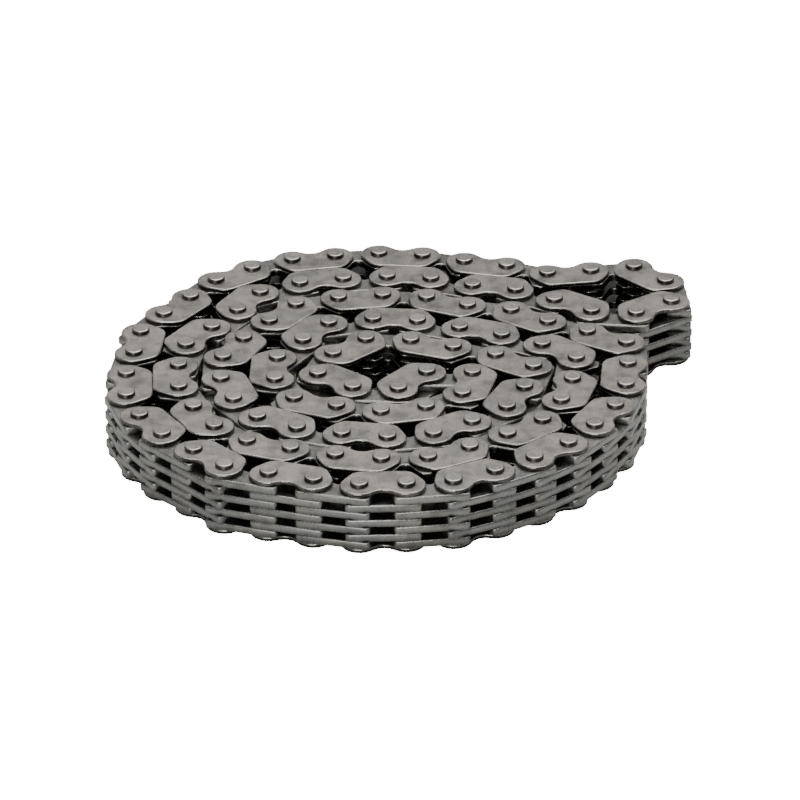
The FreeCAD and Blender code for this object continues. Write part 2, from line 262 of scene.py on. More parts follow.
def inset(corners: np.ndarray, depth: float) -> np.ndarray:
    """An anticlockwise outline moved inwards along its own normals.

    Args:
        corners: The outline in metres.
        depth: How far it moves, in metres.

    Returns:
        The moved outline, with a corner for each corner.
    """
    before, after = np.roll(corners, 1, axis=0), np.roll(corners, -1, axis=0)
    run = (corners - before) / np.linalg.norm(corners - before, axis=1, keepdims=True)
    run += (after - corners) / np.linalg.norm(after - corners, axis=1, keepdims=True)
    run /= np.linalg.norm(run, axis=1, keepdims=True)
    return corners + depth * np.column_stack((-run[:, 1], run[:, 0]))


def circle(radius: float, sides: int, x: float = 0.0) -> np.ndarray:
    """A regular polygon on a circle round (x, 0), anticlockwise from its rightmost corner."""
    turns = np.arange(sides) * 2 * np.pi / sides
    return np.column_stack((x + radius * np.cos(turns), radius * np.sin(turns)))


def blank_object(name: str, bm: bmesh.types.BMesh) -> bpy.types.Object:
    """A hidden object that holds a finished blank, and isn't in the scene.

    Args:
        name: The blank's name.
        bm: Its mesh, which is used up.

    Returns:
        The object.
    """
    mesh = bpy.data.meshes.new(name)
    bm.to_mesh(mesh)
    bm.free()
    return bpy.data.objects.new(name, mesh)


@dataclass(frozen=True)
class PlateBlank:
    """A plate blanked from strip and tumbled, so that its rims are rolled over.

    Attributes:
        name: What the plate is called.
        corners: Its outline in metres.
        thickness: In millimetres.
        hole_radius: In millimetres, to the hole's corners.
        rim: How far the tumbling has rolled its edges over, in millimetres.
        pitch: Between its holes, in millimetres.
        hole_sides: Corners of a hole.
        painted_shade_line: How far over the pins' line the walls get full painted shade, in
            millimetres.
        painted_wall_shade: The least painted shade on any wall.
    """

    name: str
    corners: np.ndarray
    thickness: float
    hole_radius: float
    rim: float
    pitch: float = 6.35
    hole_sides: int = 12
    painted_shade_line: float = 1.5
    painted_wall_shade: float = 0.0

    def cap(
        self,
        bm: bmesh.types.BMesh,
        rim: list[bmesh.types.BMVert],
        holes: list[list[bmesh.types.BMVert]],
        up: bool,
    ) -> None:
        """Two flat faces that meet on the line through the holes.

        Args:
            bm: The mesh.
            rim: The outer ring.
            holes: The left hole's ring and the right hole's.
            up: Whether the faces look up.
        """
        right = max(range(len(rim)), key=lambda n: rim[n].co.x - abs(rim[n].co.y))
        left = min(range(len(rim)), key=lambda n: rim[n].co.x + abs(rim[n].co.y))
        half = self.hole_sides // 2
        over = [hole[: half + 1][::-1] for hole in holes]
        under = [[hole[-n % self.hole_sides] for n in range(half + 1)] for hole in holes]
        outer = rim[right:] + rim[:right]
        middle = (left - right) % len(rim)
        toothed = outer[: middle + 1] + over[0] + over[1]
        back = outer[middle:] + outer[:1] + under[1] + under[0]
        for ring in (toothed, back):
            bm.faces.new(ring if up else ring[::-1])

    def build(self) -> bpy.types.Object:
        """Makes the blank.

        Returns:
            An object that stands on z = 0 with its pins' line on the X axis.
        """
        bm = bmesh.new()
        worn_highlight = bm.faces.layers.float.new("rim")
        painted_shade_layer = bm.faces.layers.float.new("painted_shade")
        thick, rim = self.thickness * MM, self.rim * MM
        rolled = inset(self.corners, rim)
        rings = [
            ring_at(bm, rolled, 0.0),
            ring_at(bm, self.corners, rim),
            ring_at(bm, self.corners, thick - rim),
            ring_at(bm, rolled, thick),
        ]
        walls = join_rings(bm, rings)
        # the rims are marked for their rubbing and for a painted highlight
        for face in walls[0] + walls[2]:
            face[worn_highlight] = 1.0
        for face in sum(walls, []):
            face.smooth = True
            # painted shade on the walls: full on the toothed side, which faces the shaded inside of
            # the loop
            across = face.calc_center_median().y / (MM * self.painted_shade_line)
            face[painted_shade_layer] = min(1.0, max(self.painted_wall_shade, across))
        ends: list[list[list[bmesh.types.BMVert]]] = [[], []]
        for x in (-self.pitch / 2 * MM, self.pitch / 2 * MM):
            ring = circle(self.hole_radius * MM, self.hole_sides, x)
            low, high = ring_at(bm, ring, 0.0), ring_at(bm, ring, thick)
            for face in join_rings(bm, [high, low])[0]:
                face.smooth = True
            ends[0].append(low)
            ends[1].append(high)
        self.cap(bm, rings[0], ends[0], up=False)
        self.cap(bm, rings[3], ends[1], up=True)
        return blank_object(self.name, bm)


@dataclass(frozen=True)
class PinBlank:
    """A round pin with a rounded edge at each end.

    Attributes:
        name: What the pin is called.
        length: In millimetres.
        radius: In millimetres.
        shoulder: Height of the rounded edge, in millimetres.
        flat: The flat end's share of the radius.
        middle_rise: How high the middle of the rounded edge stands, as a share of its height.
        painted_side_shade: Painted shade on the pin's side, from none to full.
        painted_edge_shade: Painted shade on the lower half of its rounded edges.
        sides: Corners round the pin.
    """

    name: str
    length: float
    radius: float = 1.25
    shoulder: float = 0.16
    flat: float = 0.86
    middle_rise: float = 0.3
    painted_side_shade: float = 1.0
    painted_edge_shade: float = 0.5
    sides: int = 16

    def build(self) -> bpy.types.Object:
        """Makes the pin.

        Returns:
            An object that stands on z = 0 round the Z axis.
        """
        bm = bmesh.new()
        worn_highlight = bm.faces.layers.float.new("rim")
        painted_shade_layer = bm.faces.layers.float.new("painted_shade")
        steps = [(self.flat, 0.0), ((1.0 + self.flat) / 2, self.middle_rise), (1.0, 1.0)]
        levels = [(share, self.shoulder * rise) for share, rise in steps]
        levels += [(share, self.length - low) for share, low in reversed(levels)]
        rings = [
            ring_at(bm, circle(self.radius * share * MM, self.sides), level * MM)
            for share, level in levels
        ]
        walls = join_rings(bm, rings)
        for face in sum(walls, []):
            face.smooth = True
        low_rim, low_edge, side, high_edge, high_rim = walls
        # the rims are marked for their rubbing and for a painted highlight
        for face in low_rim + high_rim:
            face[worn_highlight] = 1.0
        # painted shade: the pin's side, and the outer part of its rounded edges, are darkened
        for face in side:
            face[painted_shade_layer] = self.painted_side_shade
        for face in low_edge + high_edge:
            face[painted_shade_layer] = self.painted_edge_shade
        bm.faces.new(rings[0][::-1])
        bm.faces.new(rings[-1])
        return blank_object(self.name, bm)


# The frame's links


@dataclass(frozen=True)
class Seat:
    """Where one loose solid of the frame stands, in metres, and which way its teeth face."""

    x: float
    y: float
    heading: float
    low: float
    high: float


class Lay:
    """The lay of the chain, read from the frame's own solids."""

    WELD = 1e-6
    HOLE_REACH = 1.4 * MM

    def __init__(self, nodes: dict[str, bpy.types.Object]) -> None:
        """Finds the loose solids of every node, and every pin.

        Args:
            nodes: The frame's nodes by name.
        """
        self.solids = {name: self.loose(node.data) for name, node in nodes.items()}
        found = {
            tuple(np.round((each.min(axis=0) + each.max(axis=0))[:2] / 2, 6))
            for name, solids in self.solids.items()
            if "pins" in name
            for each in solids
        }
        self.pins = np.array(sorted(found))

    def loose(self, mesh: bpy.types.Mesh) -> list[np.ndarray]:
        """The corners of each loose solid of a mesh.

        Args:
            mesh: A node's mesh, whose triangles needn't share corners.

        Returns:
            One array of corners for each solid.
        """
        points = np.empty(len(mesh.vertices) * 3, np.float32)
        mesh.vertices.foreach_get("co", points)
        mesh.calc_loop_triangles()
        corners = np.empty(len(mesh.loop_triangles) * 3, np.int32)
        mesh.loop_triangles.foreach_get("vertices", corners)
        grid = np.round(points.reshape(-1, 3).astype(float) / self.WELD).astype(np.int64)
        welded, same = np.unique(grid, axis=0, return_inverse=True)
        triangles = same.ravel()[corners].reshape(-1, 3)
        label = np.arange(len(welded))
        while True:
            joined = label.copy()
            np.minimum.at(joined, triangles.ravel(), np.repeat(label[triangles].min(axis=1), 3))
            joined = joined[joined]
            if np.array_equal(joined, label):
                break
            label = joined
        return [welded[label == each] * self.WELD for each in np.unique(label)]

    def seat(self, solid: np.ndarray) -> Seat:
        """The seat of one solid.

        Args:
            solid: Its corners.

        Returns:
            A plate's seat on its two pins, or a pin's own seat.
        """
        low, high = solid.min(axis=0), solid.max(axis=0)
        reach = np.linalg.norm(solid[None, :, :2] - self.pins[:, None, :], axis=2).min(axis=1)
        held = self.pins[reach < self.HOLE_REACH]
        if len(held) != 2:
            middle = (low + high) / 2
            return Seat(middle[0], middle[1], 0.0, low[2], high[2])
        middle, along = held.mean(axis=0), held[1] - held[0]
        along = along / np.linalg.norm(along)
        across = (solid[:, :2] - middle) @ np.array([-along[1], along[0]])
        if across.max() < -across.min():
            along = -along
        return Seat(middle[0], middle[1], math.atan2(along[1], along[0]), low[2], high[2])

    def seats(self, node: str) -> list[Seat]:
        """The seats of all the solids of a node."""
        return [self.seat(solid) for solid in self.solids[node]]


# Node trees


class TreeMaker:
    """A small helper that makes the nodes of one tree."""

    def __init__(self, tree: bpy.types.NodeTree) -> None:
        """Holds the tree."""
        self.tree = tree

    def node(self, kind: str, **settings: object) -> bpy.types.Node:
        """A new node.

        Args:
            kind: Its type.
            settings: Those of its settings that aren't left as they come.

        Returns:
            The node.
        """
        made = self.tree.nodes.new(kind)
        for name, value in settings.items():
            setattr(made, name, value)
        return made


class StackTree(TreeMaker):
    """A Geometry Nodes tree that puts a blank on every link, in rows up its pins."""

    NAME = "plates_on_links"

    def __init__(self) -> None:
        """Makes the tree and its named inputs."""
        super().__init__(bpy.data.node_groups.new(self.NAME, "GeometryNodeTree"))
        self.tree.is_modifier = True
        self.sockets = {
            name: self.tree.interface.new_socket(name, in_out="INPUT", socket_type=kind).identifier
            for name, kind in (
                ("Links", "NodeSocketGeometry"),
                ("Blank", "NodeSocketObject"),
                ("Lowest Level", "NodeSocketFloat"),
                ("Row Step", "NodeSocketFloat"),
                ("Rows", "NodeSocketInt"),
                ("Tone Spread", "NodeSocketFloat"),
                ("Seed", "NodeSocketInt"),
                ("Steel", "NodeSocketMaterial"),
            )
        }
        self.tree.interface.new_socket(
            "Stack", in_out="OUTPUT", socket_type="NodeSocketGeometry"
        )
        self.wire()

    def wire(self) -> None:
        """Links the tree: rows, places, the blank at each, its own tone, then real geometry."""
        link = self.tree.links.new
        given = self.node("NodeGroupInput").outputs
        rows = self.node("GeometryNodeDuplicateElements", domain="POINT")
        link(given["Links"], rows.inputs["Geometry"])
        link(given["Rows"], rows.inputs["Amount"])
        rise = self.node("ShaderNodeMath", operation="MULTIPLY_ADD")
        link(rows.outputs["Duplicate Index"], rise.inputs[0])
        link(given["Row Step"], rise.inputs[1])
        link(given["Lowest Level"], rise.inputs[2])
        lift = self.node("ShaderNodeCombineXYZ")
        link(rise.outputs[0], lift.inputs["Z"])
        placed = self.node("GeometryNodeSetPosition")
        link(rows.outputs["Geometry"], placed.inputs["Geometry"])
        link(lift.outputs[0], placed.inputs["Offset"])
        heading = self.node("GeometryNodeInputNamedAttribute", data_type="FLOAT")
        heading.inputs["Name"].default_value = "heading"
        turn = self.node("ShaderNodeCombineXYZ")
        link(heading.outputs["Attribute"], turn.inputs["Z"])
        rotation = self.node("FunctionNodeEulerToRotation")
        link(turn.outputs[0], rotation.inputs[0])
        blank = self.node("GeometryNodeObjectInfo")
        link(given["Blank"], blank.inputs["Object"])
        stack = self.node("GeometryNodeInstanceOnPoints")
        link(placed.outputs[0], stack.inputs["Points"])
        link(blank.outputs["Geometry"], stack.inputs["Instance"])
        link(rotation.outputs[0], stack.inputs["Rotation"])
        random = self.node("FunctionNodeRandomValue", data_type="FLOAT")
        least = self.node("ShaderNodeMath", operation="MULTIPLY")
        least.inputs[1].default_value = -1.0
        link(given["Tone Spread"], least.inputs[0])
        floats = [each for each in random.inputs if each.type == "VALUE"]
        link(least.outputs[0], floats[0])
        link(given["Tone Spread"], floats[1])
        link(given["Seed"], random.inputs["Seed"])
        tone = self.node(
            "GeometryNodeStoreNamedAttribute", data_type="FLOAT", domain="INSTANCE"
        )
        tone.inputs["Name"].default_value = "tone"
        link(stack.outputs[0], tone.inputs["Geometry"])
        drawn = next(each for each in random.outputs if each.type == "VALUE")
        link(drawn, tone.inputs["Value"])
        real = self.node("GeometryNodeRealizeInstances")
        link(tone.outputs[0], real.inputs[0])
        steel = self.node("GeometryNodeSetMaterial")
        link(real.outputs[0], steel.inputs["Geometry"])
        link(given["Steel"], steel.inputs["Material"])
        link(steel.outputs[0], self.node("NodeGroupOutput").inputs["Stack"])

    def stack(
        self,
        name: str,
        seats: list[Seat],
        blank: bpy.types.Object,
        steel: bpy.types.Material,
        seed: int,
        spread: float,
    ) -> bpy.types.Object:
        """Makes one plain mesh object of all the plates or pins at some seats.

        Args:
            name: The piece's name.
            seats: Where they stand. Each link's rows have the same levels.
            blank: The blank to repeat.
            steel: Its finish.
            seed: For its plates' tones.
            spread: How far a plate's tone may be from the finish's own.

        Returns:
            The piece, at the origin, with no modifier.
        """
        links = sorted({(seat.x, seat.y, seat.heading) for seat in seats})
        levels = sorted({round(seat.low, 6) for seat in seats})
        mesh = bpy.data.meshes.new(f"{name}_links")
        mesh.from_pydata([(x, y, 0.0) for x, y, _ in links], [], [])
        headings = mesh.attributes.new("heading", "FLOAT", "POINT")
        headings.data.foreach_set("value", [heading for _, _, heading in links])
        base = bpy.data.objects.new(f"{name}_base", mesh)
        bpy.context.scene.collection.objects.link(base)
        modifier = base.modifiers.new("stack", "NODES")
        modifier.node_group = self.tree
        step = (levels[-1] - levels[0]) / max(1, len(levels) - 1)
        for socket, value in (
            ("Blank", blank),
            ("Lowest Level", levels[0]),
            ("Row Step", step),
            ("Rows", len(levels)),
            ("Tone Spread", spread),
            ("Seed", seed),
            ("Steel", steel),
        ):
            modifier[self.sockets[socket]] = value
        evaluated = base.evaluated_get(bpy.context.evaluated_depsgraph_get())
        made = bpy.data.meshes.new_from_object(evaluated)
        made.name = name
        base.modifiers.remove(modifier)
        bpy.data.objects.remove(base)
        bpy.data.meshes.remove(mesh)
        piece = bpy.data.objects.new(name, made)
        bpy.context.scene.collection.objects.link(piece)
        return piece


# Finishes


class ShadeTree(TreeMaker):
    """A small helper that makes and joins the nodes of one shader tree."""

    def feed(self, node: bpy.types.Node, socket: str | int, value: object) -> None:
        """Links a socket to another node's output, or sets its plain value.

        Args:
            node: The node that is fed.
            socket: Its input's name or number.
            value: An output, a number or a colour.
        """
        if isinstance(value, bpy.types.NodeSocket):
            self.tree.links.new(value, node.inputs[socket])
        else:
            node.inputs[socket].default_value = value

    def math(self, operation: str, *values: object) -> bpy.types.NodeSocket:
        """A Math node.

        Args:
            operation: What it does.
            values: Outputs or plain numbers, in the order of its inputs.

        Returns:
            Its result.
        """
        made = self.node("ShaderNodeMath", operation=operation)
        for index, value in enumerate(values):
            self.feed(made, index, value)
        return made.outputs[0]

    def spread(self, value: object, low: float, high: float, new: tuple = (0.0, 1.0)) -> object:
        """A value's range mapped smoothly to another range.

        Args:
            value: The output to map.
            low: Where its range starts.
            high: Where its range ends.
            new: The new range.

        Returns:
            The mapped output.
        """
        made = self.node("ShaderNodeMapRange", interpolation_type="SMOOTHSTEP")
        for index, each in enumerate((value, low, high, *new)):
            self.feed(made, index, each)
        return made.outputs[0]

    def noise(self, where: object, scale: object, detail: float, rough: float) -> object:
        """A noise over the object.

        Args:
            where: Coordinates.
            scale: How often it repeats in a metre.
            detail: Octaves.
            rough: Roughness of the octaves.

        Returns:
            The noise's factor.
        """
        made = self.node("ShaderNodeTexNoise")
        for name, value in (("Vector", where), ("Scale", scale), ("Detail", detail)):
            self.feed(made, name, value)
        self.feed(made, "Roughness", rough)
        return made.outputs["Fac"]

    def blend(self, factor: object, first: object, second: object, way: str = "MIX") -> object:
        """Two colours mixed.

        Args:
            factor: How much of the second.
            first: A colour.
            second: A colour.
            way: The kind of mix.

        Returns:
            The mixed colour.
        """
        made = self.node("ShaderNodeMix", data_type="RGBA", blend_type=way)
        self.feed(made, 0, factor)
        self.feed(made, 6, first)
        self.feed(made, 7, second)
        return made.outputs[2]


class EffectGroup:
    """A shader node group that more than one finish uses."""

    NAME = "effect"
    INPUTS: tuple[tuple[str, str], ...] = ()
    OUTPUTS: tuple[str, ...] = ()

    def __init__(self) -> None:
        """Makes the group with its named inputs and outputs, and wires it."""
        self.tree = bpy.data.node_groups.new(self.NAME, "ShaderNodeTree")
        for name, kind in self.INPUTS:
            self.tree.interface.new_socket(name, in_out="INPUT", socket_type=kind)
        for name in self.OUTPUTS:
            self.tree.interface.new_socket(name, in_out="OUTPUT", socket_type="NodeSocketFloat")
        shade = ShadeTree(self.tree)
        given = shade.node("NodeGroupInput").outputs
        result = shade.node("NodeGroupOutput")
        for name, value in self.wire(shade, given).items():
            shade.feed(result, name, value)

    def wire(self, shade: ShadeTree, given: object) -> dict[str, object]:
        """Wires the group.

        Args:
            shade: The group's tree.
            given: The group's inputs.

        Returns:
            The output for each of its names.
        """
        raise NotImplementedError

    def place(self, shade: ShadeTree, **values: object) -> bpy.types.Node:
        """Puts the group in a material.

        Args:
            shade: The material's tree.
            values: The material's own value for each of the group's inputs.

        Returns:
            The group's node.
        """
        made = shade.node("ShaderNodeGroup", node_tree=self.tree)
        for name, value in values.items():
            shade.feed(made, name.replace("_", " ").title(), value)
        return made


class RimWearAndHighlight(EffectGroup):
    """Rubbed rims, brightened as a painted highlight."""

    NAME = "rim_wear_and_highlight"
    INPUTS = (("Vector", "NodeSocketVector"), ("Scale", "NodeSocketFloat"))
    OUTPUTS = ("Wear And Highlight",)
    OCTAVES, ROUGHNESS = 3.0, 0.6
    RUBBED_FROM, RUBBED_TO = 0.3, 0.6
    LEAST_RUBBED = 0.55

    def wire(self, shade: ShadeTree, given: object) -> dict[str, object]:
        """Wires the rubbing and painted highlight: the rims' own mark, broken up by a noise.

        Args:
            shade: The group's tree.
            given: The group's inputs.

        Returns:
            The wear.
        """
        rim = shade.node("ShaderNodeAttribute", attribute_name="rim").outputs["Fac"]
        noise = shade.noise(given["Vector"], given["Scale"], self.OCTAVES, self.ROUGHNESS)
        broken = shade.spread(noise, self.RUBBED_FROM, self.RUBBED_TO)
        rubbed = shade.math("MULTIPLY_ADD", broken, 1.0 - self.LEAST_RUBBED, self.LEAST_RUBBED)
        return {"Wear And Highlight": shade.math("MULTIPLY", rim, rubbed)}


class Tumbling(EffectGroup):
    """The peened grain that tumbling leaves, with a few short scratches."""

    NAME = "tumbled_grain"
    INPUTS = (
        ("Vector", "NodeSocketVector"),
        ("Scale", "NodeSocketFloat"),
        ("Scratch", "NodeSocketFloat"),
    )
    OUTPUTS = ("Height", "Mottle", "Streak")
    OCTAVES, ROUGHNESS = 4.0, 0.65
    LINE_OCTAVES, LINE_ROUGHNESS = 2.0, 0.5
    LINE_TURN = (0.0, 0.0, 0.5)
    LINE_STRETCH = (1.0, 0.12, 0.4)
    CUT_FROM, CUT_TO = 0.6, 0.72
    CUT_DEPTH = -0.5

    def wire(self, shade: ShadeTree, given: object) -> dict[str, object]:
        """Wires the grain's height, the mottle that goes with it, and the scratches.

        Args:
            shade: The group's tree.
            given: The group's inputs.

        Returns:
            The height, the mottle and the scratches.
        """
        grain = shade.noise(given["Vector"], given["Scale"], self.OCTAVES, self.ROUGHNESS)
        stretch = shade.node("ShaderNodeMapping")
        stretch.inputs["Rotation"].default_value = self.LINE_TURN
        stretch.inputs["Scale"].default_value = self.LINE_STRETCH
        shade.feed(stretch, "Vector", given["Vector"])
        lines = shade.noise(
            stretch.outputs[0], given["Scale"], self.LINE_OCTAVES, self.LINE_ROUGHNESS
        )
        cut = shade.spread(lines, self.CUT_FROM, self.CUT_TO)
        scratch = shade.math("MULTIPLY", cut, given["Scratch"])
        height = shade.math("MULTIPLY_ADD", scratch, self.CUT_DEPTH, grain)
        return {"Height": height, "Mottle": grain, "Streak": scratch}


class OilAndShade(EffectGroup):
    """A darkening coat: thin oily smears on the flats, and painted shade low down in the stack and
    on the faces marked as shaded.
    """

    NAME = "oil_smear_and_painted_shade"
    INPUTS = (
        ("Vector", "NodeSocketVector"),
        ("Scale", "NodeSocketFloat"),
        ("Clean Level", "NodeSocketFloat"),
        ("Deep Level", "NodeSocketFloat"),
        ("Smear", "NodeSocketFloat"),
        ("Depth", "NodeSocketFloat"),
    )
    OUTPUTS = ("Smear And Shade",)
    OCTAVES, ROUGHNESS = 3.0, 0.55
    SMEAR_FROM, SMEAR_TO = 0.42, 0.72
    LEAST_PAINTED_SHADE = 0.9

    def wire(self, shade: ShadeTree, given: object) -> dict[str, object]:
        """Wires the coat: thin oily smears, painted shade low down, and painted shade on the marked
        faces.

        Args:
            shade: The group's tree.
            given: The group's inputs.

        Returns:
            The coat of smears and painted shade.
        """
        split = shade.node("ShaderNodeSeparateXYZ")
        shade.feed(split, 0, given["Vector"])
        # painted shade that grows low down in the stack, from the upper level to the lower
        deep = shade.node("ShaderNodeMapRange", interpolation_type="SMOOTHSTEP")
        shade.feed(deep, 0, split.outputs["Z"])
        shade.feed(deep, 1, given["Clean Level"])
        shade.feed(deep, 2, given["Deep Level"])
        noise = shade.noise(given["Vector"], given["Scale"], self.OCTAVES, self.ROUGHNESS)
        smear = shade.spread(noise, self.SMEAR_FROM, self.SMEAR_TO)
        # painted shade on the faces that the blanks mark as shaded
        painted_shade = shade.node("ShaderNodeAttribute", attribute_name="painted_shade").outputs["Fac"]
        thick = shade.math(
            "MULTIPLY_ADD", deep.outputs[0], 1.0 - self.LEAST_PAINTED_SHADE, self.LEAST_PAINTED_SHADE
        )
        hidden = shade.math("MULTIPLY", painted_shade, thick)
        thin = shade.math("MULTIPLY", smear, given["Smear"])
        low = shade.math("MULTIPLY_ADD", deep.outputs[0], given["Depth"], thin)
        return {"Smear And Shade": shade.math("MINIMUM", shade.math("ADD", low, hidden), 1.0)}


@dataclass(frozen=True)
class Effects:
    """The shared effects, built once."""

    wear_and_highlight: RimWearAndHighlight
    grain: Tumbling
    oil_and_shade: OilAndShade


@dataclass(frozen=True)
class SteelFinish:
    """One of the chain's steel finishes.

    Attributes:
        slot: The material slot it fills.
        warm: The steel's own colour.
        cool: The colour that some plates and smudges lean to.
        worn_highlight: The colour of rubbed rims, brightened as a painted highlight.
        smear_and_shade: The near-black colour of oily smears and of painted shade.
        rough: Roughness of clean steel.
        rough_spread: How far the mottle moves the roughness.
        wear_and_highlight: How much the rims' rubbing and painted highlight show.
        oil_and_shade: How much the smears and painted shade hide the steel where they are thickest.
        smear: Thickness of the oily smears on the flats.
        depth: Strength of the painted shade low down in the stack.
        scratch: Depth of the short scratches.
        grain_depth: Height of the grain, in metres.
        grain_scale: Grains in a metre.
    """

    WEAR_SCALE: ClassVar[float] = 380.0
    OIL_SCALE: ClassVar[float] = 420.0
    # painted shade low down in the stack: none above the upper level, full below the lower
    SHADE_START_LEVEL: ClassVar[float] = 9.0 * MM
    DEEP_LEVEL: ClassVar[float] = 6.0 * MM
    SMUDGE: ClassVar[tuple[float, float, float]] = (230.0, 3.0, 0.6)
    SMUDGE_RANGE: ClassVar[tuple[float, float]] = (0.35, 0.68)
    MOST_COOL: ClassVar[float] = 0.8
    MOTTLE_RANGE: ClassVar[tuple[float, float]] = (0.3, 0.7)
    MOTTLE_GAIN: ClassVar[tuple[float, float]] = (0.8, 1.12)
    STREAK_ROUGHENS: ClassVar[float] = 0.1
    OIL_SMOOTHS: ClassVar[float] = -0.1
    WEAR_SMOOTHS: ClassVar[float] = -0.14

    slot: Slot
    warm: tuple[float, float, float, float]
    cool: tuple[float, float, float, float]
    worn_highlight: tuple[float, float, float, float]
    smear_and_shade: tuple[float, float, float, float]
    rough: float
    rough_spread: float
    wear_and_highlight: float
    oil_and_shade: float
    smear: float
    depth: float
    scratch: float
    grain_depth: float
    grain_scale: float

    def build(self, effects: Effects) -> bpy.types.Material:
        """Makes the material.

        Args:
            effects: The shared effect groups.

        Returns:
            The finished material.
        """
        material = bpy.data.materials.new(self.slot.value)
        material.use_nodes = True
        shade = ShadeTree(material.node_tree)
        material.node_tree.nodes.clear()
        where = shade.node("ShaderNodeTexCoord").outputs["Object"]
        grain = effects.grain.place(
            shade, vector=where, scale=self.grain_scale, scratch=self.scratch
        )
        mottle = grain.outputs["Mottle"]
        wear_and_highlight = effects.wear_and_highlight.place(shade, vector=where, scale=self.WEAR_SCALE)
        oil_and_shade = effects.oil_and_shade.place(
            shade,
            vector=where,
            scale=self.OIL_SCALE,
            clean_level=self.SHADE_START_LEVEL,
            deep_level=self.DEEP_LEVEL,
            smear=self.smear,
            depth=self.depth,
        )
        tone = shade.node("ShaderNodeAttribute", attribute_name="tone").outputs["Fac"]
        smudge = shade.spread(shade.noise(where, *self.SMUDGE), *self.SMUDGE_RANGE)
        lean = shade.math("MULTIPLY", shade.math("ADD", smudge, tone), self.MOST_COOL)
        colour = shade.blend(lean, self.warm, self.cool)
        patchy = shade.spread(mottle, *self.MOTTLE_RANGE, self.MOTTLE_GAIN)
        gain = shade.math("ADD", patchy, tone)
        grey = shade.node("ShaderNodeCombineColor")
        for channel in range(3):
            shade.feed(grey, channel, gain)
        colour = shade.blend(1.0, colour, grey.outputs[0], "MULTIPLY")
        # oily smears, and painted shade low down and on the marked faces, darken the colour
        smear_and_shade = oil_and_shade.outputs["Smear And Shade"]
        colour = shade.blend(shade.math("MULTIPLY", smear_and_shade, self.oil_and_shade), colour, self.smear_and_shade)
        # painted highlight on the rims, together with their rubbing
        worn_highlight = shade.math("MULTIPLY", wear_and_highlight.outputs["Wear And Highlight"], self.wear_and_highlight)
        colour = shade.blend(worn_highlight, colour, self.worn_highlight)
        shader = shade.node("ShaderNodeBsdfPrincipled")
        shade.feed(shader, "Base Color", colour)
        shade.feed(shader, "Metallic", 1.0)
        ends = (self.rough - self.rough_spread, self.rough + self.rough_spread)
        rough = shade.spread(mottle, *self.MOTTLE_RANGE, ends)
        streak = grain.outputs["Streak"]
        for mask, change in (
            (streak, self.STREAK_ROUGHENS),
            (smear_and_shade, self.OIL_SMOOTHS),
            (worn_highlight, self.WEAR_SMOOTHS),
        ):
            rough = shade.math("MULTIPLY_ADD", mask, change, rough)
        shade.feed(shader, "Roughness", rough)
        bump = shade.node("ShaderNodeBump")
        shade.feed(bump, "Distance", self.grain_depth)
        shade.feed(bump, "Strength", 1.0)
        shade.feed(bump, "Height", grain.outputs["Height"])
        shade.feed(shader, "Normal", bump.outputs[0])
        shade.feed(shade.node("ShaderNodeOutputMaterial"), "Surface", shader.outputs[0])
        return material


def steel_finishes() -> list[SteelFinish]:
    """The chain's three steels.

    Returns:
        The finishes of the guide plates, the toothed plates and the pins.
    """
    return [
        SteelFinish(
            slot=Slot.GUIDE,
            warm=(0.48, 0.445, 0.41, 1.0),
            cool=(0.3, 0.295, 0.285, 1.0),
            worn_highlight=(0.7, 0.67, 0.63, 1.0),
            smear_and_shade=(0.03, 0.028, 0.024, 1.0),
            rough=0.42,
            rough_spread=0.07,
            wear_and_highlight=0.8,
            oil_and_shade=0.95,
            smear=0.35,
            depth=0.1,
            scratch=1.0,
            grain_depth=0.012 * MM,
            grain_scale=5200.0,
        ),
        # the toothed plates' steel is darker than the guides', in part as painted shade for the
        # plates that sit under the guides
        SteelFinish(
            slot=Slot.PLATE,
            warm=(0.33, 0.32, 0.29, 1.0),
            cool=(0.27, 0.285, 0.28, 1.0),
            worn_highlight=(0.55, 0.54, 0.51, 1.0),
            smear_and_shade=(0.02, 0.02, 0.017, 1.0),
            rough=0.38,
            rough_spread=0.08,
            wear_and_highlight=0.7,
            oil_and_shade=0.95,
            smear=0.3,
            depth=0.15,
            scratch=1.0,
            grain_depth=0.012 * MM,
            grain_scale=4200.0,
        ),
        SteelFinish(
            slot=Slot.PIN,
            warm=(0.47, 0.44, 0.41, 1.0),
            cool=(0.4, 0.39, 0.375, 1.0),
            worn_highlight=(0.8, 0.77, 0.73, 1.0),
            smear_and_shade=(0.03, 0.027, 0.024, 1.0),
            rough=0.4,
            rough_spread=0.04,
            wear_and_highlight=0.7,
            oil_and_shade=0.95,
            smear=0.2,
            depth=0.2,
            scratch=0.0,
            grain_depth=0.003 * MM,
            grain_scale=2400.0,
        ),
    ]


# The chain


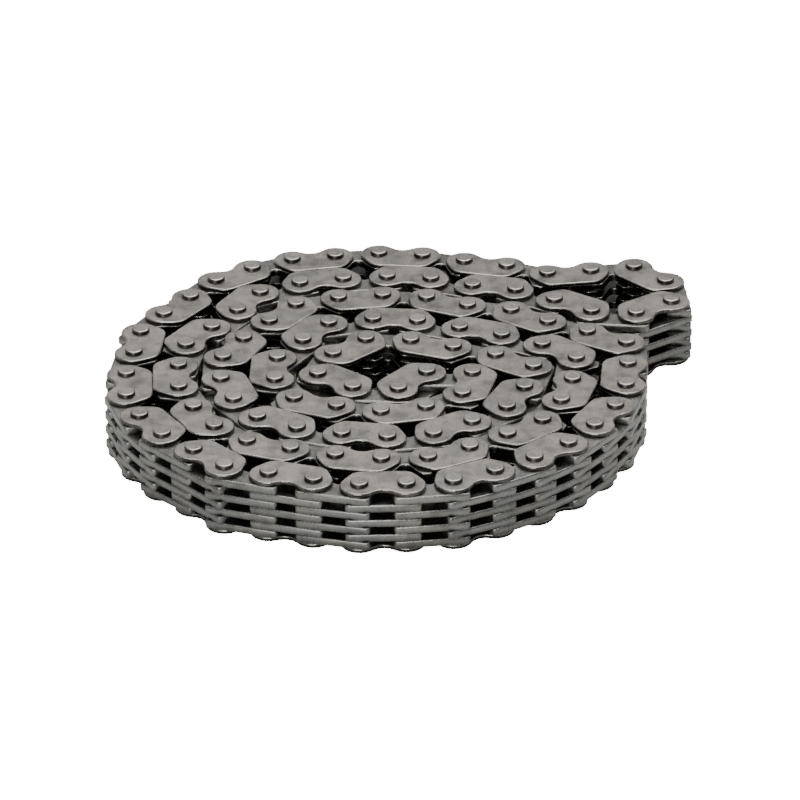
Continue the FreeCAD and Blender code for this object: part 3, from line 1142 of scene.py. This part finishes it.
@dataclass
class Chain:
    """All the links, finished: a piece for each kind of plate, or the pins, of each body.

    Attributes:
        lay: Where every solid of the frame stands.
        guide_thickness: In millimetres.
        toothed_thickness: In millimetres.
        pressed_hole: Radius of a hole that is pressed on its pin, in millimetres.
        running_hole: Radius of a hole that turns on its pin, in millimetres.
        guide_rim: How far the guide plates' edges are rolled over, in millimetres.
        toothed_rim: How far the toothed plates' edges are rolled over, in millimetres.
        guide_painted_wall_shade: The least painted shade on the guide plates' walls.
        pin_length: In millimetres.
        stub_length: Length of the open pin's two stubs, in millimetres.
        guide_tones: How far a guide plate's tone may be from its finish's own.
        other_tones: How far a toothed plate's or a pin's tone may be.
    """

    lay: Lay
    guide_thickness: float = 0.65
    toothed_thickness: float = 1.1
    pressed_hole: float = 1.25
    running_hole: float = 1.32
    guide_rim: float = 0.13
    toothed_rim: float = 0.12
    # painted shade on the guide plates' walls
    guide_painted_wall_shade: float = 0.85
    pin_length: float = 10.36
    stub_length: float = 1.25
    guide_tones: float = 0.05
    other_tones: float = 0.15
    tree: StackTree = field(default_factory=StackTree)
    blanks: dict[Kind, bpy.types.Object] = field(default_factory=dict)

    def __post_init__(self) -> None:
        """Makes the blanks."""
        guide, toothed = GuideOutline().corners(), ToothedOutline().corners()
        thick, rim = self.toothed_thickness, self.toothed_rim
        self.blanks[Kind.GUIDE] = PlateBlank(
            "guide_blank",
            guide,
            self.guide_thickness,
            self.pressed_hole,
            self.guide_rim,
            painted_wall_shade=self.guide_painted_wall_shade,
        ).build()
        for kind, name, hole in (
            (Kind.TOOTHED, "middle_blank", self.pressed_hole),
            (Kind.INNER, "inner_blank", self.running_hole),
        ):
            self.blanks[kind] = PlateBlank(name, toothed, thick, hole, rim).build()
        self.blanks[Kind.PIN] = PinBlank("pin_blank", self.pin_length).build()
        self.blanks[Kind.STUB] = PinBlank("stub_blank", self.stub_length).build()

    @staticmethod
    def kind_of(node: str) -> tuple[Kind, Slot]:
        """Sorts a node by the words in its name.

        Args:
            node: Its name.

        Returns:
            What it holds, and the slot of its finish.
        """
        if "guide" in node:
            return Kind.GUIDE, Slot.GUIDE
        if "middle" in node:
            return Kind.TOOTHED, Slot.PLATE
        if "inner" in node:
            return Kind.INNER, Slot.PLATE
        return Kind.PIN, Slot.PIN

    def dress(
        self, node: str, body: str, steels: dict[Slot, bpy.types.Material], seed: int
    ) -> list[bpy.types.Object]:
        """Replaces one node with its finished piece, and its stubs if it has any.

        Args:
            node: The frame's node.
            body: The body it moves with.
            steels: The finish for each slot.
            seed: For its plates' tones.

        Returns:
            The pieces that stand for the node.
        """
        kind, slot = self.kind_of(node)
        groups = {kind: self.lay.seats(node)}
        if kind is Kind.PIN:
            half = self.pin_length / 2 * MM
            groups = {
                Kind.PIN: [seat for seat in groups[kind] if seat.high - seat.low > half],
                Kind.STUB: [seat for seat in groups[kind] if seat.high - seat.low <= half],
            }
        spread = self.guide_tones if slot is Slot.GUIDE else self.other_tones
        pieces = []
        for each, seats in groups.items():
            if not seats:
                continue
            name = f"{node}_stubs" if each is Kind.STUB else f"{node}_finished"
            piece = self.tree.stack(name, seats, self.blanks[each], steels[slot], seed, spread)
            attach(piece, body)
            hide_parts(node)
            LOG.info("%s: %d seats, %d faces", name, len(seats), len(piece.data.polygons))
            pieces.append(piece)
        return pieces

    def build(self, bodies: dict[str, list[str]], steels: dict[Slot, bpy.types.Material]) -> int:
        """Finishes every node.

        Args:
            bodies: The nodes of each body.
            steels: The finish for each slot.

        Returns:
            How many pieces were made.
        """
        rows = [(node, body) for body, nodes in sorted(bodies.items()) for node in sorted(nodes)]
        made = [self.dress(node, body, steels, seed) for seed, (node, body) in enumerate(rows)]
        return sum(len(each) for each in made)


# The studio


@dataclass(frozen=True)
class AreaLight:
    """A soft square light that looks at the chain.

    Attributes:
        name: Its name.
        place: Where it hangs, in metres.
        side: Its size in metres.
        power: In watts.
        colour: Its colour.
    """

    name: str
    place: tuple[float, float, float]
    side: float
    power: float
    colour: tuple[float, float, float] = (1.0, 1.0, 1.0)

    def build(self) -> bpy.types.Object:
        """Hangs the light.

        Returns:
            The light.
        """
        data = bpy.data.lights.new(self.name, "AREA")
        data.shape = "SQUARE"
        data.size = self.side
        data.energy = self.power
        data.color = self.colour
        light = bpy.data.objects.new(self.name, data)
        light.location = self.place
        light.rotation_euler = (-Vector(self.place)).to_track_quat("-Z", "Y").to_euler()
        bpy.context.scene.collection.objects.link(light)
        return light


@dataclass(frozen=True)
class Camera:
    """The camera: a long lens, a little above the chain.

    Attributes:
        place: Where it stands, in metres.
        target: What it looks at, in metres.
        lens: Focal length, in millimetres.
        roll: How far it leans, in degrees.
    """

    SENSOR_WIDTH: ClassVar[float] = 36.0
    NEAREST: ClassVar[float] = 0.01
    FARTHEST: ClassVar[float] = 20.0

    place: tuple[float, float, float] = (-0.0004, -0.6725, 0.3632)
    target: tuple[float, float, float] = (-0.0004, -0.0105, 0.0097)
    lens: float = 244.52
    roll: float = -0.35

    def build(self) -> bpy.types.Object:
        """Sets the camera up and makes it the scene's own.

        Returns:
            The camera.
        """
        data = bpy.data.cameras.new("camera")
        data.lens = self.lens
        data.sensor_width = self.SENSOR_WIDTH
        data.clip_start, data.clip_end = self.NEAREST, self.FARTHEST
        camera = bpy.data.objects.new("camera", data)
        look = (Vector(self.target) - Vector(self.place)).to_track_quat("-Z", "Y").to_matrix()
        roll = Matrix.Rotation(math.radians(self.roll), 3, "Z")
        camera.matrix_world = Matrix.Translation(self.place) @ (look @ roll).to_4x4()
        bpy.context.scene.collection.objects.link(camera)
        bpy.context.scene.camera = camera
        return camera


class Studio:
    """A plain pale floor under soft light."""

    FLOOR_HALF = 6.0
    FLOOR_COLOUR = (0.8, 0.8, 0.8, 1.0)
    FLOOR_GLOW = 16.0
    SKY = (0.9, 0.95, 1.0, 1.0)
    SKY_STRENGTH = 0.24
    LIGHTS = (
        AreaLight("overhead", (0.05, 0.3, 0.9), 0.9, 9.3, (1.0, 0.98, 0.95)),
        AreaLight("front", (-0.25, -0.9, 0.35), 0.5, 2.2),
        AreaLight("fill", (0.0, -0.75, 0.42), 0.1, 0.7),
    )

    def floor_material(self) -> bpy.types.Material:
        """The floor's finish: bright to the eye, but it throws little light on the chain.

        Returns:
            The material.
        """
        material = bpy.data.materials.new("floor")
        material.use_nodes = True
        material.node_tree.nodes.clear()
        shade = ShadeTree(material.node_tree)
        seen = shade.node("ShaderNodeLightPath").outputs["Is Camera Ray"]
        plain = shade.node("ShaderNodeBsdfDiffuse")
        shade.feed(plain, "Color", self.FLOOR_COLOUR)
        glow = shade.node("ShaderNodeEmission")
        shade.feed(glow, "Color", (1.0, 1.0, 1.0, 1.0))
        shade.feed(glow, "Strength", shade.math("MULTIPLY", seen, self.FLOOR_GLOW))
        both = shade.node("ShaderNodeAddShader")
        shade.feed(both, 0, plain.outputs[0])
        shade.feed(both, 1, glow.outputs[0])
        shade.feed(shade.node("ShaderNodeOutputMaterial"), "Surface", both.outputs[0])
        return material

    def build(self) -> None:
        """Lays the floor, hangs the lights and sets the sky and the camera."""
        half = self.FLOOR_HALF
        mesh = bpy.data.meshes.new("floor")
        corners = [(-half, -half, 0.0), (half, -half, 0.0), (half, half, 0.0), (-half, half, 0.0)]
        mesh.from_pydata(corners, [], [(0, 1, 2, 3)])
        mesh.materials.append(self.floor_material())
        floor = bpy.data.objects.new("floor", mesh)
        bpy.context.scene.collection.objects.link(floor)
        for light in self.LIGHTS:
            light.build()
        world = bpy.data.worlds.new("sky")
        bpy.context.scene.world = world
        world.use_nodes = True
        back = next(n for n in world.node_tree.nodes if n.bl_idname == "ShaderNodeBackground")
        back.inputs["Color"].default_value = self.SKY
        back.inputs["Strength"].default_value = self.SKY_STRENGTH
        Camera().build()


def main() -> None:
    """Finishes the chain and sets up the studio."""
    logging.basicConfig(level=logging.INFO, format="%(name)s %(message)s")
    effects = Effects(wear_and_highlight=RimWearAndHighlight(), grain=Tumbling(), oil_and_shade=OilAndShade())
    steels = {finish.slot: finish.build(effects) for finish in steel_finishes()}
    chain = Chain(Lay(frame["nodes"]))
    bodies = frame["record"]["behaviour"]["bodies"]
    LOG.info("%d pieces finished", chain.build(bodies, steels))
    Studio().build()


if __name__ == "__main__":
    main()
